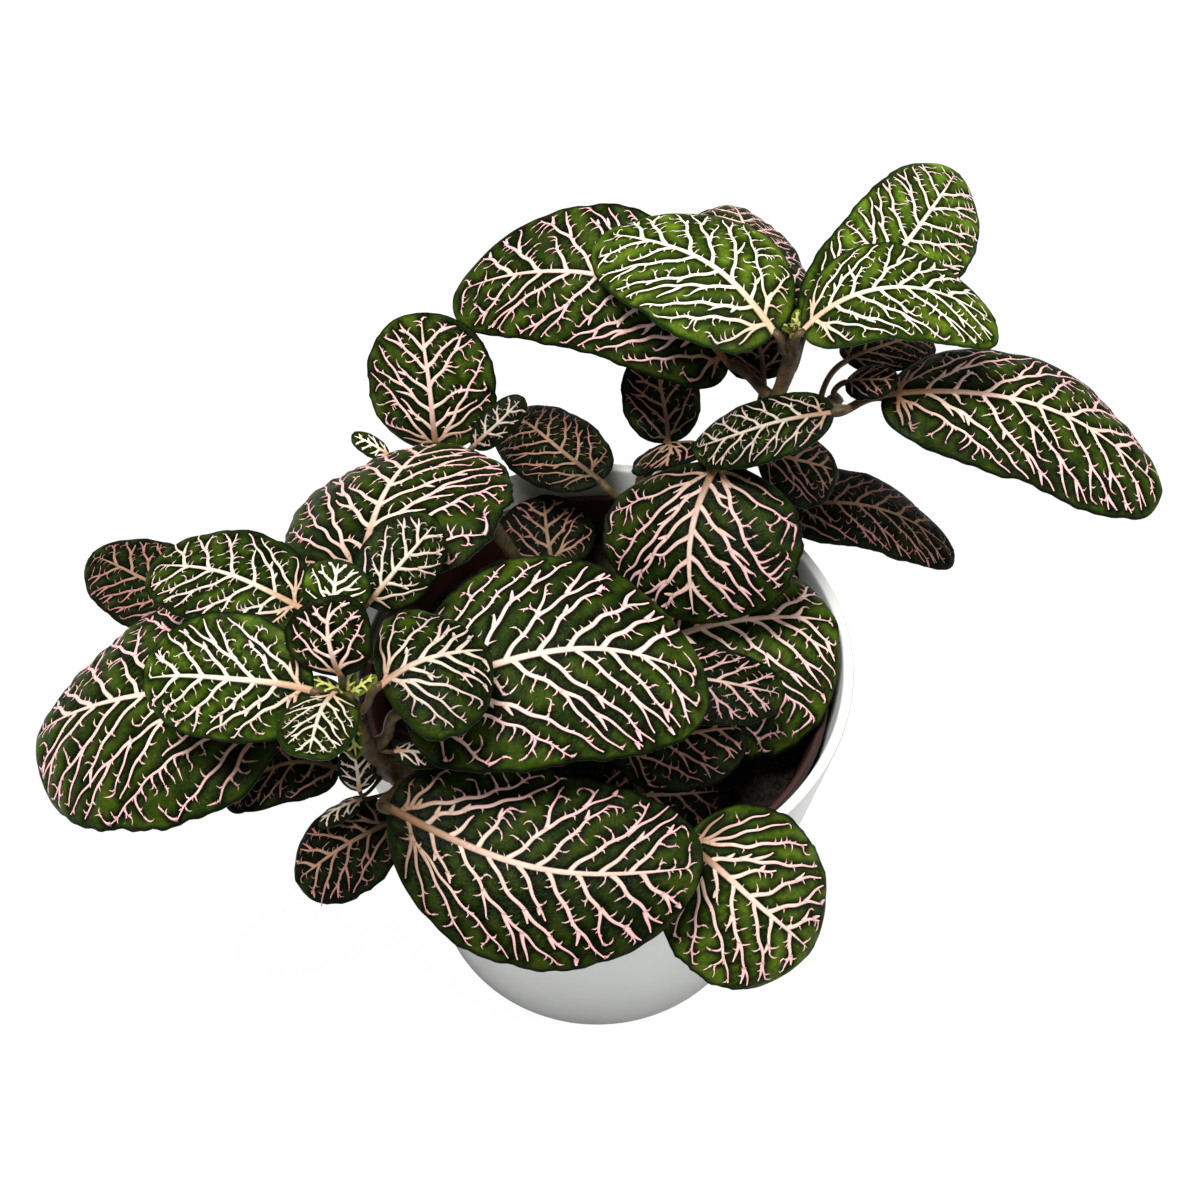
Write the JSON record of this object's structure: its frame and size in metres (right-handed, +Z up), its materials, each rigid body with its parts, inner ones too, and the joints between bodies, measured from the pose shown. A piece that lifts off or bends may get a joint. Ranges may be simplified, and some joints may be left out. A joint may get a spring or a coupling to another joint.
{
  "type": "potted nerve plant",
  "caption": "Bushy potted nerve plant: broad dark green leaves with pink veins on leaning stems, in a nursery pot of soil inside a plain white cover pot.",
  "frame": {"origin": "on the pots' common axis at the flat underside of the cover pot", "axes": "+Z up along the pots' axis, -Y towards the front of the plant, +X to the right seen from the front"},
  "size_m": [0.2778, 0.2012, 0.2012],
  "materials": {
    "cover_pot": "smooth matt white",
    "nursery_pot": "thin dark red-brown moulded plastic",
    "soil": "dark damp peat",
    "stem": "olive-brown soft stem",
    "mature_leaf": "dark green leaf with pink veins, fine leathery grain",
    "young_leaf": "brighter green leaf with cream veins, satin"
  },
  "bodies": {
    "root": {"cover_pot": "cover_pot", "nursery_pot": "nursery_pot", "soil": "soil", "stem_west": "stem", "stem_rear": "stem", "stem_east": "stem", "stem_branch": "stem", "stem_north": "stem", "stem_middle": "stem", "stem_south": "stem", "leaf_west_north": "mature_leaf", "leaf_west_south": "young_leaf", "leaf_west_left": "young_leaf", "leaf_west_right": "young_leaf", "leaf_centre": "mature_leaf", "leaf_front": "mature_leaf", "leaf_far_left": "mature_leaf", "leaf_west_shaded": "mature_leaf", "leaf_west_under": "mature_leaf", "leaf_rear_left": "young_leaf", "leaf_rear_small": "young_leaf", "leaf_rear_curled": "young_leaf", "leaf_rear_wide": "mature_leaf", "leaf_rear_outer": "mature_leaf", "leaf_crown_left": "young_leaf", "leaf_crown_right": "young_leaf", "leaf_crown_back": "mature_leaf", "leaf_crown_far": "young_leaf", "leaf_crown_low": "mature_leaf", "leaf_branch_right": "mature_leaf", "leaf_branch_left": "young_leaf", "leaf_branch_small": "young_leaf", "leaf_branch_under": "mature_leaf", "leaf_east_middle": "mature_leaf", "leaf_east_shaded": "mature_leaf", "leaf_east_low": "mature_leaf", "leaf_east_under": "mature_leaf", "leaf_crown_stub": "mature_leaf", "leaf_north_upright": "mature_leaf", "leaf_north_right": "mature_leaf", "leaf_north_small": "young_leaf", "leaf_north_folded": "young_leaf", "leaf_north_low": "mature_leaf", "leaf_middle_upright": "mature_leaf", "leaf_middle_small": "young_leaf", "leaf_south_right": "mature_leaf", "leaf_south_middle": "mature_leaf", "leaf_south_dark": "mature_leaf", "leaf_south_front": "mature_leaf", "leaf_south_low": "mature_leaf"}
  },
  "joints": []
}
